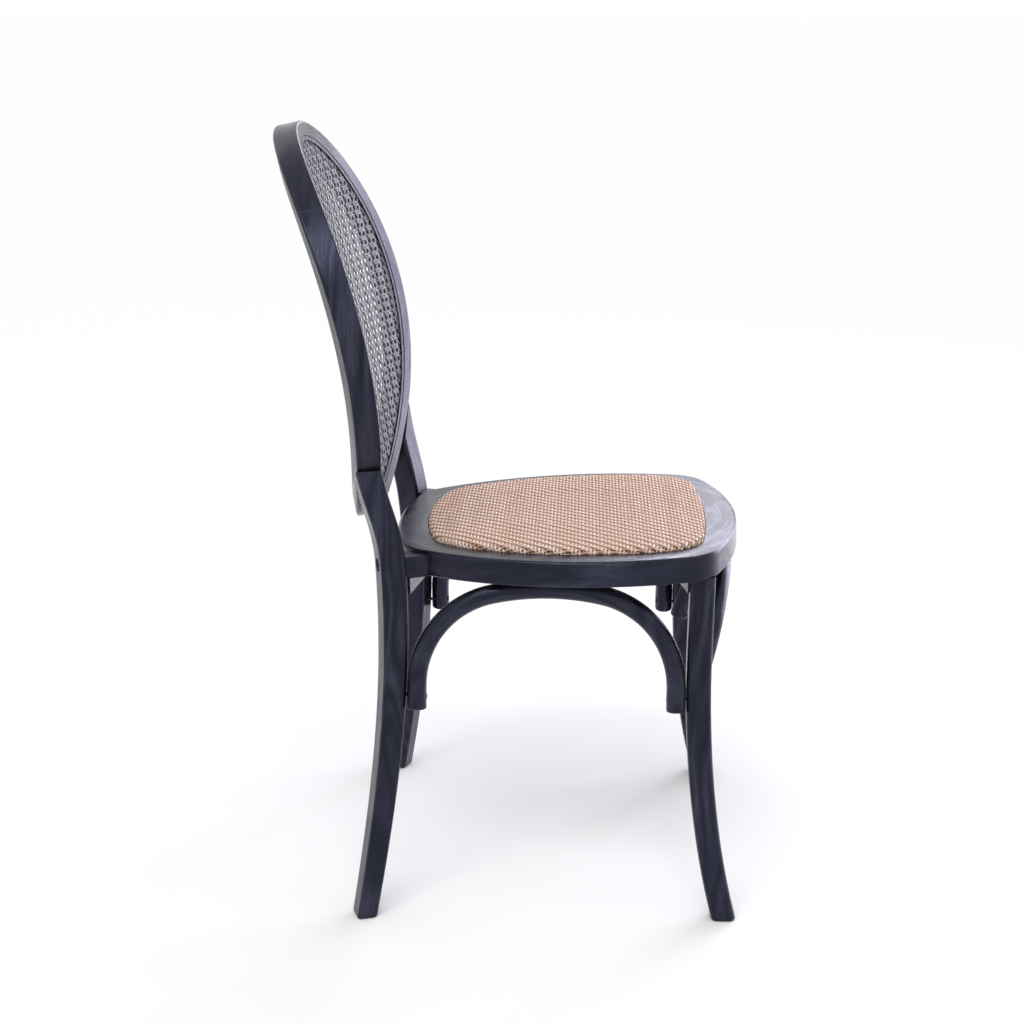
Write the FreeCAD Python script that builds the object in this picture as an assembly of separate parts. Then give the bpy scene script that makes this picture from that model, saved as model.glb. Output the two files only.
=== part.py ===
import FreeCAD, Part
import math
import os

V = FreeCAD.Vector

# Bentwood bistro chair with an oval caned back and a woven seat pad.
# Millimetres. The chair faces -Y, X runs across it and Z is up.
# The model is worked out about the middle of the seat and moved at the end,
# so that the origin lies on the floor under the middle of the bounding box.

# Seat ring
seat_height = 450.0
seat_tilt = 1.67
seat_half_width = 222.5
seat_widest_y = -110.0
seat_front_reach = 175.0
seat_rear_reach = 262.0
seat_front_bow = 480.0
seat_side_bow = 400.0
seat_rear_bow = 500.0
seat_front_corner = 62.0
seat_rear_corner = 62.0
ring_thickness = 32.0
ring_top_round = 4.5
ring_lower_round = 2.0
ring_side_border = 34.2
ring_front_border = 41.0
ring_rear_border = 39.5
ring_rebate_depth = 12.0
ring_lip_width = 20.0

# Seat pad
pad_front_bow = 1200.0
pad_side_bow = 366.0
pad_rear_bow = 420.0
pad_front_corner = 60.0
pad_rear_corner = 72.0
pad_fit_gap = 0.8
pad_edge_rise = 3.5
pad_crown = 8.0
pad_dome_height_power = 0.8
pad_dome_width_power = 0.55
board_thickness = 6.0
board_edge_inset = 3.0
weave_thickness = 2.4

# Back hoop
hoop_half_width = 242.9
hoop_half_height = 246.4
hoop_fullness = 2.05
hoop_gap_over_seat = 13.9
hoop_face_width = 26.6
hoop_thickness = 30.9
hoop_plan_radius = 563.4
hoop_lean = 9.67
hoop_side_radius = 9100.0
hoop_set_back = 36.5
hoop_arris_round = 3.0
hoop_top_joint = 50.0
hoop_bottom_joint = 148.0
hoop_dowel_diameter = 6.0
hoop_dowel_length = 30.0
hoop_dowel_spacing = 12.0
hoop_station_angle = 9.0
hoop_least_stations = 4

# Cane panel, held in a rebate round the front of the hoop
cane_rebate_width = 8.0
cane_rebate_depth = 5.0
cane_thickness = 2.2
cane_edge_gap = 0.5
spline_width = 5.0
spline_height = 1.6
spline_end_gap = 0.2

# Rear legs, each one piece from the floor to the hoop
post_half_spread = 162.5
post_forward_of_seat_edge = 2.1
post_width = 36.7
post_depth = 32.5
post_foot_width = 30.4
post_foot_depth = 25.6
post_taper_height = 430.0
post_turn = 20.2
post_arris_round = 5.0
post_shin_share = 0.311
post_knee_share = 0.622
post_thigh_share = 0.933
post_foot_out = 82.0
post_foot_back = 29.5
post_shin_out = 57.7
post_shin_back = 8.6
post_knee_out = 31.5
post_knee_forward = 3.8
post_thigh_out = 5.5
post_thigh_forward = 2.8
post_join_angle = 133.4
post_join_flare = 13.6
post_join_reach = 62.0
post_tip_trim = 14.0
post_dowel_diameter = 8.0
post_dowel_length = 26.0
post_dowel_angles = (134.5, 140.5)
post_stations = 16

# Front legs
front_leg_inset_x = 46.6
front_leg_inset_y = 51.0
front_leg_size = 31.0
front_leg_foot_size = 30.0
front_leg_arris_round = 8.0
front_leg_foot_out = 60.7
front_leg_foot_forward = 32.0
front_leg_shin_out = 39.9
front_leg_shin_forward = 5.4
front_leg_knee_out = 20.2
front_leg_knee_back = 3.2
front_leg_run_on = 0.12
front_leg_stations = 10
tenon_diameter = 20.0
tenon_length = 20.0
tenon_root = 5.0
tenon_end_gap = 1.0
sole_round = 3.0

# Bent arches under the seat
arch_rod_diameter = 24.0
arch_foot_drop = 160.0
arch_straight_end = 30.0
side_arch_foot_inset = 20.5
side_arch_top_inset = 40.5
side_arch_corner_radius = 116.0
front_arch_corner_radius = 105.0
front_arch_top_y_inset = 18.0
arch_end_round = 3.0

# Corner blocks under the seat ring
block_height = 19.0
rear_block_outer = (172.0, 125.0)
rear_block_inner = (100.0, 113.0)
rear_block_depth = 26.0
front_block_outer = (187.0, -214.0)
front_block_inner = (128.0, -203.0)
front_block_depth = 24.0
block_screw_row = 0.45
block_screw_shares = (0.15, 0.55)
block_screw_sink = 1.0

# Fasteners
bolt_diameter = 8.0
bolt_head_diameter = 13.0
bolt_head_height = 6.0
bolt_socket_width = 6.0
bolt_socket_depth = 3.6
bolt_above_underside = 18.0
bolt_length = 62.0
bolt_recess_depth = 9.0
washer_diameter = 16.0
washer_thickness = 1.6
nut_diameter = 12.0
nut_length = 16.0
ear_width = 24.0
screw_diameter = 4.0
screw_head_diameter = 8.0
screw_head_height = 2.6
screw_slot_width = 1.0
screw_slot_depth = 1.2
screw_slot_share = 0.6
arch_screw_length = 38.0
arch_screw_sink = 0.4
arch_screw_stagger = 7.0
rear_screw_turn = 14.0
front_screw_turn = 8.5
block_screw_length = 30.0
board_screw_length = 20.0
board_screw_count = 6
board_screw_bite = 5.0

# Fineness of the curved surfaces
dome_steps = 7
rim_steps = 40
sheet_stations = 6
halvings = 40
touch = 0.01
overrun = 1.0

# Clearances
fit_gap = 0.3
bore_gap = 0.2
glue_gap = 0.1
cane_bed_gap = 0.25

# Derived places
seat_slope = math.radians(seat_tilt)
seat_rear_y = seat_widest_y + seat_rear_reach
seat_front_y = seat_widest_y - seat_front_reach
pad_half_width = seat_half_width - ring_side_border
pad_front_y = seat_front_y + ring_front_border
pad_rear_y = seat_rear_y - ring_rear_border
ring_underside = seat_height - ring_thickness
arch_foot_z = ring_underside - arch_foot_drop
arch_screw_z = arch_foot_z + arch_straight_end / 2
rebate_floor_z = seat_height - ring_rebate_depth
pad_rim_z = seat_height + pad_edge_rise
post_y = seat_rear_y - post_forward_of_seat_edge
hoop_low_z = seat_height - math.tan(seat_slope) * seat_rear_y + hoop_gap_over_seat
hoop_centre_z = hoop_low_z + hoop_half_height
hoop_low_y = post_y + hoop_set_back
rod_radius = arch_rod_diameter / 2
side_arch_foot_x = seat_half_width - side_arch_foot_inset
side_arch_top_x = seat_half_width - side_arch_top_inset


def save(name, shape):
    shape = shape.copy()
    shape.translate(V(0, depth_shift, 0))
    shape.exportStep("parts/" + name + ".step")


def mirrored(shape):
    return shape.mirror(V(0, 0, 0), V(1, 0, 0))


def fused(shapes):
    return shapes[0].multiFuse(shapes[1:]).removeSplitter()


def power(value, exponent):
    return math.copysign(abs(value) ** exponent, value)


def seat_tilted(shape):
    # Tilts a level seat piece backwards about the middle of the seat top.
    shape = shape.copy()
    shape.rotate(V(0, 0, seat_height), V(1, 0, 0), -seat_tilt)
    return shape


def seat_plane_z(y, below_top):
    return seat_height - math.tan(seat_slope) * y - below_top / math.cos(seat_slope)


# Outlines of the seat

def corner_between(first, second, radius):
    # Middle of a corner arc that touches two larger arcs from inside.
    (ax, ay, ar), (bx, by, br) = first, second
    reach_a = ar - radius
    reach_b = br - radius
    gap = math.hypot(bx - ax, by - ay)
    along = (reach_a ** 2 - reach_b ** 2 + gap ** 2) / (2 * gap)
    off = math.sqrt(reach_a ** 2 - along ** 2)
    ux, uy = (bx - ax) / gap, (by - ay) / gap
    choices = [(ax + ux * along - uy * off, ay + uy * along + ux * off),
               (ax + ux * along + uy * off, ay + uy * along - ux * off)]
    return max(choices)


def towards(circle, point):
    x, y, radius = circle
    turn = math.atan2(point[1] - y, point[0] - x)
    return x + radius * math.cos(turn), y + radius * math.sin(turn), turn


def seat_outline(sizes, bows, corners, inset, z):
    # Five bowed stretches joined by round corners, mirrored across the seat.
    half_width, widest_y, front_y, rear_y = sizes
    front_bow, side_bow, rear_bow = bows
    front = (0, front_y + front_bow, front_bow)
    side = (half_width - side_bow, widest_y, side_bow)
    rear = (0, rear_y - rear_bow, rear_bow)
    rounds = []
    for big, radius in ((front, corners[0]), (rear, corners[1])):
        x, y = corner_between(big, side, radius)
        rounds.append((x, y, radius))
    breaks = [towards(front, rounds[0]), towards(side, rounds[0]),
              towards(side, rounds[1]), towards(rear, rounds[1])]

    def arc(circle, start, end):
        x, y, radius = circle
        points = []
        for turn in (start, (start + end) / 2, end):
            reach = radius - inset
            points.append(V(x + reach * math.cos(turn), y + reach * math.sin(turn), z))
        return points

    turns = [point[2] for point in breaks]
    right = [arc(rounds[0], turns[0], turns[1]), arc(side, turns[1], turns[2]),
             arc(rounds[1], turns[2], turns[3])]
    left = []
    for points in reversed(right):
        left.append([V(-point.x, point.y, point.z) for point in reversed(points)])
    front_arc = arc(front, -math.pi - turns[0], turns[0])
    rear_arc = arc(rear, turns[3], math.pi - turns[3])
    loop = [front_arc] + right + [rear_arc] + left
    return Part.Wire([Part.Arc(points[0], points[1], points[2]).toShape() for points in loop])


def ring_outline(inset, z):
    return seat_outline((seat_half_width, seat_widest_y, seat_front_y, seat_rear_y),
                        (seat_front_bow, seat_side_bow, seat_rear_bow),
                        (seat_front_corner, seat_rear_corner), inset, z)


def pad_outline(inset, z):
    return seat_outline((pad_half_width, seat_widest_y, pad_front_y, pad_rear_y),
                        (pad_front_bow, pad_side_bow, pad_rear_bow),
                        (pad_front_corner, pad_rear_corner), inset, z)


def plate(wire, height):
    return Part.Face(wire).extrude(V(0, 0, height))


# Oval of the back

def oval_point(angle, inset):
    # Point on the oval seen from the front, measured from the top, with its normal.
    turn = math.radians(angle)
    x = power(math.sin(turn), 2 / hoop_fullness)
    z = power(math.cos(turn), 2 / hoop_fullness)
    normal_x = power(x, hoop_fullness - 1) / hoop_half_width
    normal_z = power(z, hoop_fullness - 1) / hoop_half_height
    size = math.hypot(normal_x, normal_z)
    normal_x = normal_x / size
    normal_z = normal_z / size
    return (hoop_half_width * x - inset * normal_x,
            hoop_centre_z + hoop_half_height * z - inset * normal_z, normal_x, normal_z)


def hoop_mid_y(x, z):
    # Depth of the middle of the back, dished towards the sitter and leaning back.
    rise = z - hoop_low_z
    lean = math.tan(math.radians(hoop_lean)) * rise + rise ** 2 / (2 * hoop_side_radius)
    dish = hoop_plan_radius - math.sqrt(hoop_plan_radius ** 2 - x ** 2)
    return hoop_low_y + lean - dish


def dished_slab(front, back):
    # A curved sheet between two distances in front of the middle of the back.
    half = hoop_half_width + hoop_face_width
    tilt = math.cos(math.radians(hoop_lean))
    wires = []
    margin = hoop_face_width
    for step in range(sheet_stations):
        z = hoop_low_z - margin + 2 * (hoop_half_height + margin) * step / (sheet_stations - 1)
        rows = []
        for forward in (front, back):
            radius = hoop_plan_radius - forward / tilt
            centre_y = hoop_mid_y(0, z) - hoop_plan_radius
            edge_y = centre_y + math.sqrt(radius ** 2 - half ** 2)
            rows.append((V(-half, edge_y, z), V(0, centre_y + radius, z), V(half, edge_y, z)))
        near, far = rows
        wires.append(Part.Wire([
            Part.Arc(near[0], near[1], near[2]).toShape(),
            Part.makeLine(near[2], far[2]),
            Part.Arc(far[2], far[1], far[0]).toShape(),
            Part.makeLine(far[0], near[0])]))
    return Part.makeLoft(wires, True, False)


def hoop_frame(angle):
    # Middle of the hoop's section, with its outward, forward and along directions.
    # The outward direction is as long as keeps the face width even seen from the front.
    x, z, normal_x, normal_z = oval_point(angle, hoop_face_width / 2)
    centre = V(x, hoop_mid_y(x, z), z)
    small = 0.5
    slope_x = (hoop_mid_y(x + small, z) - hoop_mid_y(x - small, z)) / (2 * small)
    slope_z = (hoop_mid_y(x, z + small) - hoop_mid_y(x, z - small)) / (2 * small)
    forward = V(slope_x, -1, slope_z).normalize()
    outward = V(normal_x, slope_x * normal_x + slope_z * normal_z, normal_z)
    along = outward.cross(forward).normalize()
    return centre, outward, forward, along


def hoop_section(angle):
    centre, outward, forward, _ = hoop_frame(angle)

    def at(u, v):
        return centre + outward * u + forward * v

    w = hoop_face_width / 2
    t = hoop_thickness / 2
    r = hoop_arris_round
    c = r * (1 - math.sqrt(0.5))
    step_u = cane_rebate_width - w
    step_v = t - cane_rebate_depth
    edges = [
        Part.makeLine(at(-w, step_v), at(-w, r - t)),
        Part.Arc(at(-w, r - t), at(c - w, c - t), at(r - w, -t)).toShape(),
        Part.makeLine(at(r - w, -t), at(w - r, -t)),
        Part.Arc(at(w - r, -t), at(w - c, c - t), at(w, r - t)).toShape(),
        Part.makeLine(at(w, r - t), at(w, t - r)),
        Part.Arc(at(w, t - r), at(w - c, t - c), at(w - r, t)).toShape(),
        Part.makeLine(at(w - r, t), at(step_u, t)),
        Part.makeLine(at(step_u, t), at(step_u, step_v)),
        Part.makeLine(at(step_u, step_v), at(-w, step_v))]
    return Part.Wire(edges)


def spread_angles(start, end):
    # Angles from the start to the end, close enough for a smooth surface.
    stations = max(hoop_least_stations, round((end - start) / hoop_station_angle))
    return [start + (end - start) * step / stations for step in range(stations + 1)]


def hoop_piece(start, end):
    return Part.makeLoft([hoop_section(angle) for angle in spread_angles(start, end)], True, False)


def hoop_inside(start, end):
    # The room that the hoop and what it surrounds take, seen square to its face.
    half = hoop_thickness
    outer = hoop_face_width / 2 + glue_gap
    inner = -2 * post_width
    wires = []
    for angle in spread_angles(start, end):
        centre, outward, forward, _ = hoop_frame(angle)
        corners = []
        for u, v in ((outer, half), (outer, -half), (inner, -half), (inner, half)):
            corners.append(centre + outward * u + forward * v)
        wires.append(Part.makePolygon(corners + corners[:1]))
    return Part.makeLoft(wires, True, False)


def dowel(middle, along, diameter, length, gap):
    start = middle - along * (length / 2 + gap)
    return Part.makeCylinder(diameter / 2 + gap, length + 2 * gap, start, along)


def hoop_dowel_pair(angle, gap):
    centre, _, forward, along = hoop_frame(angle)
    pair = []
    for side in (-1, 1):
        middle = centre + forward * (side * hoop_dowel_spacing / 2)
        pair.append(dowel(middle, along, hoop_dowel_diameter, hoop_dowel_length, gap))
    return pair


# Legs

def rounded_section(centre, width, depth, radius, turn):
    lateral = V(math.cos(turn), -math.sin(turn), 0)
    back = V(math.sin(turn), math.cos(turn), 0)

    def at(u, v):
        return centre + lateral * u + back * v

    w = width / 2
    d = depth / 2
    r = radius
    c = r * (1 - math.sqrt(0.5))
    return Part.Wire([
        Part.makeLine(at(-w + r, -d), at(w - r, -d)),
        Part.Arc(at(w - r, -d), at(w - c, -d + c), at(w, -d + r)).toShape(),
        Part.makeLine(at(w, -d + r), at(w, d - r)),
        Part.Arc(at(w, d - r), at(w - c, d - c), at(w - r, d)).toShape(),
        Part.makeLine(at(w - r, d), at(-w + r, d)),
        Part.Arc(at(-w + r, d), at(-w + c, d - c), at(-w, d - r)).toShape(),
        Part.makeLine(at(-w, d - r), at(-w, -d + r)),
        Part.Arc(at(-w, -d + r), at(-w + c, -d + c), at(-w + r, -d)).toShape()])


def bent_leg(points, size_at, radius, turn, gap, stations):
    # A leg of level sections along a smooth line. A gap grows it all round.
    line = Part.BSplineCurve()
    line.interpolate(Points=points)
    first, last = line.FirstParameter, line.LastParameter
    wires = []
    for step in range(stations + 1):
        centre = line.value(first + (last - first) * step / stations)
        width, depth = size_at(centre.z)
        wires.append(rounded_section(centre, width + 2 * gap, depth + 2 * gap, radius, turn))
    return Part.makeLoft(wires, True, False)


def post_size(z):
    share = min(1.0, max(0.0, z / post_taper_height))
    return (post_foot_width + (post_width - post_foot_width) * share,
            post_foot_depth + (post_depth - post_foot_depth) * share)


def post_points():
    join_x, join_z, _, _ = oval_point(post_join_angle, 0)
    flare = math.radians(post_join_flare)
    end_x = join_x + post_join_reach * math.sin(flare)
    end_z = join_z + post_join_reach * math.cos(flare)
    top = seat_plane_z(post_y, 0)
    x = post_half_spread
    y = post_y
    return [
        V(x + post_foot_out, y + post_foot_back, 0),
        V(x + post_shin_out, y + post_shin_back, top * post_shin_share),
        V(x + post_knee_out, y - post_knee_forward, top * post_knee_share),
        V(x + post_thigh_out, y - post_thigh_forward, top * post_thigh_share),
        V(x, y, top),
        V(join_x, hoop_mid_y(join_x, join_z), join_z),
        V(end_x, hoop_mid_y(end_x, end_z), end_z)]


def post_body(gap):
    turn = math.radians(post_turn)
    return bent_leg(post_points(), post_size, post_arris_round, turn, gap, post_stations)


def point_at_height(points, z):
    # Where a smooth line that rises through the points reaches a height.
    line = Part.BSplineCurve()
    line.interpolate(Points=points)
    low, high = line.FirstParameter, line.LastParameter
    for _ in range(halvings):
        middle = (low + high) / 2
        if line.value(middle).z < z:
            low = middle
        else:
            high = middle
    return line.value(low)


def post_face(z):
    # Middle of the post's front face at a height, with its forward and lateral directions.
    turn = math.radians(post_turn)
    centre = point_at_height(post_points(), z)
    forward = V(-math.sin(turn), -math.cos(turn), 0)
    lateral = V(math.cos(turn), -math.sin(turn), 0)
    return centre + forward * (post_size(z)[1] / 2), forward, lateral


def front_leg_size_at(z):
    share = min(1.0, max(0.0, z / ring_underside))
    side = front_leg_foot_size + (front_leg_size - front_leg_foot_size) * share
    return side, side


def front_leg_top():
    y = seat_front_y + front_leg_inset_y
    return V(seat_half_width - front_leg_inset_x, y, seat_plane_z(y, ring_thickness))


def front_leg_points():
    top = front_leg_top()
    return [
        V(top.x + front_leg_foot_out, top.y - front_leg_foot_forward, 0),
        V(top.x + front_leg_shin_out, top.y - front_leg_shin_forward, top.z / 3),
        V(top.x + front_leg_knee_out, top.y + front_leg_knee_back, top.z * 2 / 3),
        V(top.x, top.y, top.z)]


def front_leg_body(gap):
    # The line runs on past the seat ring, which cuts the leg off.
    points = front_leg_points()
    points.append(points[-1] + (points[-1] - points[-2]) * front_leg_run_on)
    return bent_leg(points, front_leg_size_at, front_leg_arris_round, 0, gap, front_leg_stations)


def above_underside():
    # Everything above the underside of the seat ring.
    reach = 4 * seat_half_width
    box = Part.makeBox(reach, reach, reach, V(-reach / 2, -reach / 2, ring_underside))
    return seat_tilted(box)


def edges_below(shape, z):
    return [edge for edge in shape.Edges if edge.BoundBox.ZMax < z + touch]


def edges_above(shape, z):
    return [edge for edge in shape.Edges if edge.BoundBox.ZMin > z - touch]


def sole_rounded(leg):
    return leg.makeFillet(sole_round, edges_below(leg, 0))


# Arches

def arch_wire(half_span, rise, corner):
    # Upright ends, tight corners and a flatter crown, drawn in the X-Z plane.
    crown = ((half_span - corner) ** 2 + rise ** 2 - corner ** 2) / (2 * (rise - corner))
    turn = math.atan2(crown - rise, half_span - corner)
    low = -arch_straight_end
    split = V(half_span - corner + corner * math.cos(turn), 0, corner * math.sin(turn))
    bend = V(half_span - corner + corner * math.cos(turn / 2), 0, corner * math.sin(turn / 2))

    def left(point):
        return V(-point.x, 0, point.z)

    foot = V(half_span, 0, low)
    start = V(half_span, 0, 0)
    return Part.Wire([
        Part.makeLine(left(foot), left(start)),
        Part.Arc(left(start), left(bend), left(split)).toShape(),
        Part.Arc(left(split), V(0, 0, rise), split).toShape(),
        Part.Arc(split, bend, start).toShape(),
        Part.makeLine(start, foot)])


def arch_rod(half_span, rise, corner):
    wire = arch_wire(half_span, rise, corner)
    circle = Part.makeCircle(rod_radius, V(-half_span, 0, -arch_straight_end), V(0, 0, 1))
    rod = wire.makePipeShell([Part.Wire([circle])], True, False)
    return rod.makeFillet(arch_end_round, edges_below(rod, -arch_straight_end))


def placed(shape, start, side, up):
    # Puts a shape drawn about the origin where its X and Z directions should lie.
    other = up.cross(side)
    frame = FreeCAD.Matrix(
        side.x, other.x, up.x, start.x,
        side.y, other.y, up.y, start.y,
        side.z, other.z, up.z, start.z,
        0, 0, 0, 1)
    shape.Placement = FreeCAD.Placement(frame)
    return shape


def side_arch_span():
    # Middles of the rod at its two feet, against the rear leg and the front leg.
    face, forward, lateral = post_face(arch_screw_z)
    along = (side_arch_foot_x - face.x) / lateral.x
    wall = face + lateral * along
    rear_y = wall.y - (rod_radius + fit_gap) / -forward.y
    leg = point_at_height(front_leg_points(), arch_screw_z)
    front_y = leg.y + front_leg_size_at(arch_screw_z)[1] / 2 + rod_radius + fit_gap
    return front_y, rear_y


def side_arch():
    front_y, rear_y = side_arch_span()
    middle_y = (front_y + rear_y) / 2
    crown_z = seat_plane_z(middle_y, ring_thickness + rod_radius + fit_gap)
    rise = crown_z - arch_foot_z - arch_straight_end
    lean = math.atan2(side_arch_top_x - side_arch_foot_x, rise)
    up = V(math.sin(lean), 0, math.cos(lean))
    across = V(0, 1, 0)
    middle = V(side_arch_foot_x, middle_y, arch_foot_z + arch_straight_end)
    rod = arch_rod((rear_y - front_y) / 2, rise / math.cos(lean), side_arch_corner_radius)
    crown = V(side_arch_foot_x + rise * math.tan(lean), middle_y, crown_z)
    return placed(rod, middle, across, up), crown


def front_arch():
    leg = point_at_height(front_leg_points(), arch_screw_z)
    half_span = leg.x - front_leg_size_at(arch_screw_z)[0] / 2 - rod_radius - fit_gap
    crown_y = seat_front_y + front_arch_top_y_inset
    crown_z = seat_plane_z(crown_y, ring_thickness + rod_radius + fit_gap)
    rise = crown_z - arch_foot_z - arch_straight_end
    lean = math.atan2(leg.y - crown_y, rise)
    up = V(0, -math.sin(lean), math.cos(lean))
    middle = V(0, leg.y, arch_foot_z + arch_straight_end)
    rod = arch_rod(half_span, rise / math.cos(lean), front_arch_corner_radius)
    return placed(rod, middle, V(1, 0, 0), up), V(0, crown_y, crown_z), half_span, leg.y


# Fasteners

def wood_screw(start, direction, length, gap):
    # A screw with a flat round head, whose face lies at the start point.
    head = Part.makeCylinder(screw_head_diameter / 2 + gap, screw_head_height + gap, start, direction)
    shank = Part.makeCylinder(screw_diameter / 2 + gap, length + gap, start, direction)
    return head.fuse(shank)


def screw(start, direction, length, gap):
    # The screw itself with its crossed slots, or with a gap the hole that it needs.
    if gap:
        return wood_screw(start, direction, length, gap)
    cross_screw = wood_screw(V(0, 0, 0), V(0, 0, 1), length, 0)
    reach = screw_head_diameter * screw_slot_share
    for x, y in ((reach, screw_slot_width), (screw_slot_width, reach)):
        cross_screw = cross_screw.cut(Part.makeBox(x, y, screw_slot_depth, V(-x / 2, -y / 2, 0)))
    side = direction.cross(V(direction.y, direction.z, direction.x + 1)).normalize()
    return placed(cross_screw, start, side, direction)


def bolt_line():
    # Where the bolt crosses the post's front face, its directions and the floor of its recess.
    face, forward, lateral = post_face(seat_plane_z(post_y, ring_thickness) + bolt_above_underside)
    floor = face - forward * (post_size(face.z)[1] - bolt_recess_depth)
    return face, forward, lateral, floor


def socket_bolt(gap):
    _, forward, _, floor = bolt_line()
    head_start = floor - forward * (washer_thickness + bolt_head_height)
    head = Part.makeCylinder(bolt_head_diameter / 2, bolt_head_height, head_start, forward)
    shank_start = head_start + forward * (bolt_head_height - overrun)
    shank = Part.makeCylinder(bolt_diameter / 2 + gap, bolt_length + gap, shank_start, forward)
    if gap:
        return shank
    socket = Part.makeCylinder(bolt_socket_width / 2, bolt_socket_depth, head_start, forward)
    return head.fuse(shank).cut(socket)


def bolt_recess():
    _, forward, _, floor = bolt_line()
    return Part.makeCylinder(washer_diameter / 2 + fit_gap, post_depth, floor, forward * -1)


def bolt_washer():
    _, forward, _, floor = bolt_line()
    start = floor - forward * washer_thickness
    outer = Part.makeCylinder(washer_diameter / 2, washer_thickness, start, forward)
    inner = Part.makeCylinder(bolt_diameter / 2 + fit_gap, washer_thickness, start, forward)
    return outer.cut(inner)


def nut_place():
    _, forward, _, floor = bolt_line()
    return floor + forward * (bolt_length - washer_thickness - nut_diameter / 2)


def barrel_nut(gap):
    place = nut_place()
    start = place - V(0, 0, nut_length / 2 + gap)
    return Part.makeCylinder(nut_diameter / 2 + gap, nut_length + 2 * gap, start, V(0, 0, 1))


def block_edge(outer, inner, backwards):
    # The two ends of a block's open edge, its direction and the direction into the corner.
    a = V(outer[0], outer[1], 0)
    b = V(inner[0], inner[1], 0)
    side = (a - b).normalize()
    return a, b, side, V(-side.y, side.x, 0) * backwards


def corner_block(outer, inner, depth, backwards):
    # A low block under the ring, whose open edge runs from the outer to the inner point.
    a, b, _, away = block_edge(outer, inner, backwards)
    corners = [a, b, b + away * depth, a + away * depth, a]
    block = Part.Face(Part.makePolygon(corners)).extrude(V(0, 0, block_height))
    block.translate(V(0, 0, ring_underside - block_height))
    return seat_tilted(block)


def block_screw_places(outer, inner, depth, backwards):
    a, b, side, away = block_edge(outer, inner, backwards)
    row = b + away * (depth * block_screw_row)
    length = (a - b).Length
    return [row + side * (length * share) for share in block_screw_shares]


def seat_up():
    return V(0, math.sin(seat_slope), math.cos(seat_slope))


# Back

hoop_angles = [
    ("hoop_top", -hoop_top_joint, hoop_top_joint),
    ("hoop_right", hoop_top_joint, hoop_bottom_joint),
    ("hoop_bottom", hoop_bottom_joint, 360 - hoop_bottom_joint),
    ("hoop_left", 360 - hoop_bottom_joint, 360 - hoop_top_joint)]
joint_angles = [hoop_top_joint, hoop_bottom_joint, 360 - hoop_bottom_joint, 360 - hoop_top_joint]


def post_dowels(gap):
    dowels = []
    for angle in post_dowel_angles:
        centre, outward, _, _ = hoop_frame(angle)
        middle = centre + outward * (hoop_face_width / 2)
        across = V(outward.x, outward.y, outward.z).normalize()
        dowels.append(dowel(middle, across, post_dowel_diameter, post_dowel_length, gap))
    return dowels


def cane_sheet():
    # The woven sheet lies on the floor of the rebate.
    back = hoop_thickness / 2 - cane_rebate_depth + cane_bed_gap
    front = back + cane_thickness
    points = []
    for step in range(rim_steps):
        centre, outward, forward, _ = hoop_frame(360 * step / rim_steps)
        wall = cane_rebate_width - hoop_face_width / 2 - cane_edge_gap
        point = centre + outward * wall + forward * ((front + back) / 2)
        points.append(V(point.x, 0, point.z))
    curve = Part.BSplineCurve()
    curve.interpolate(Points=points, PeriodicFlag=True)
    prism = Part.Face(Part.Wire([curve.toShape()])).extrude(V(0, 2 * hoop_plan_radius, 0))
    return dished_slab(front, back).common(prism)


def cane_spline():
    # A strip pressed in round the sheet, whose ends meet at the foot of the hoop.
    back = hoop_thickness / 2 - cane_rebate_depth + 2 * cane_bed_gap + cane_thickness
    front = back + spline_height
    outer = cane_rebate_width - hoop_face_width / 2 - cane_edge_gap
    inner = outer - spline_width
    wires = []
    for step in range(rim_steps + 1):
        angle = 180 + spline_end_gap + (360 - 2 * spline_end_gap) * step / rim_steps
        centre, outward, forward, _ = hoop_frame(angle)
        corners = []
        for u, v in ((outer, back), (outer, front), (inner, front), (inner, back)):
            corners.append(centre + outward * u + forward * v)
        wires.append(Part.makePolygon(corners + corners[:1]))
    return Part.makeLoft(wires, True, False)


# Seat

def seat_ring_body():
    body = plate(ring_outline(0, ring_underside), ring_thickness)
    body = body.makeFillet(ring_top_round, edges_above(body, seat_height))
    body = body.makeFillet(ring_lower_round, edges_below(body, ring_underside))
    well = plate(pad_outline(-pad_fit_gap, rebate_floor_z), ring_rebate_depth + overrun)
    hole = plate(pad_outline(ring_lip_width, ring_underside - overrun), ring_thickness + 2 * overrun)
    return seat_tilted(body.cut(well).cut(hole))


def ring_ear():
    # A flat lug on the ring's rear corner, trimmed square to the bolt.
    face, forward, lateral, _ = bolt_line()
    start = face + forward * fit_gap
    reach = ring_side_border + ring_lip_width
    corners = [start - lateral * (ear_width / 2), start + lateral * (ear_width / 2)]
    corners.append(corners[1] + forward * reach)
    corners.append(corners[0] + forward * reach)
    corners.append(corners[0])
    flat = []
    for corner in corners:
        flat.append(V(corner.x, corner.y, 0))
    lug = Part.Face(Part.makePolygon(flat)).extrude(V(0, 0, 2 * seat_height))
    slab = Part.makeBox(2 * seat_half_width, 3 * seat_rear_reach, ring_thickness - ring_top_round,
                        V(0, seat_front_y, ring_underside))
    opening = plate(pad_outline(-pad_fit_gap, ring_underside - overrun), ring_thickness + 2 * overrun)
    return lug.common(seat_tilted(slab)).cut(seat_tilted(opening))


def pad_shell(inset, base_z, rim_z, crown):
    # A crowned pad: upright sides and a dome that rises steeply from the rim.
    body = plate(pad_outline(inset, base_z), rim_z - base_z)
    middle_y = (pad_front_y + pad_rear_y) / 2
    wires = []
    for step in range(dome_steps):
        turn = math.pi / 2 * step / dome_steps
        z = rim_z + crown * math.sin(turn) ** pad_dome_height_power
        wire = pad_outline(inset, z)
        wire.scale(math.cos(turn) ** pad_dome_width_power, V(0, middle_y, z))
        wires.append(wire)
    return body.fuse(Part.makeLoft(wires, True, False))


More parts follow.
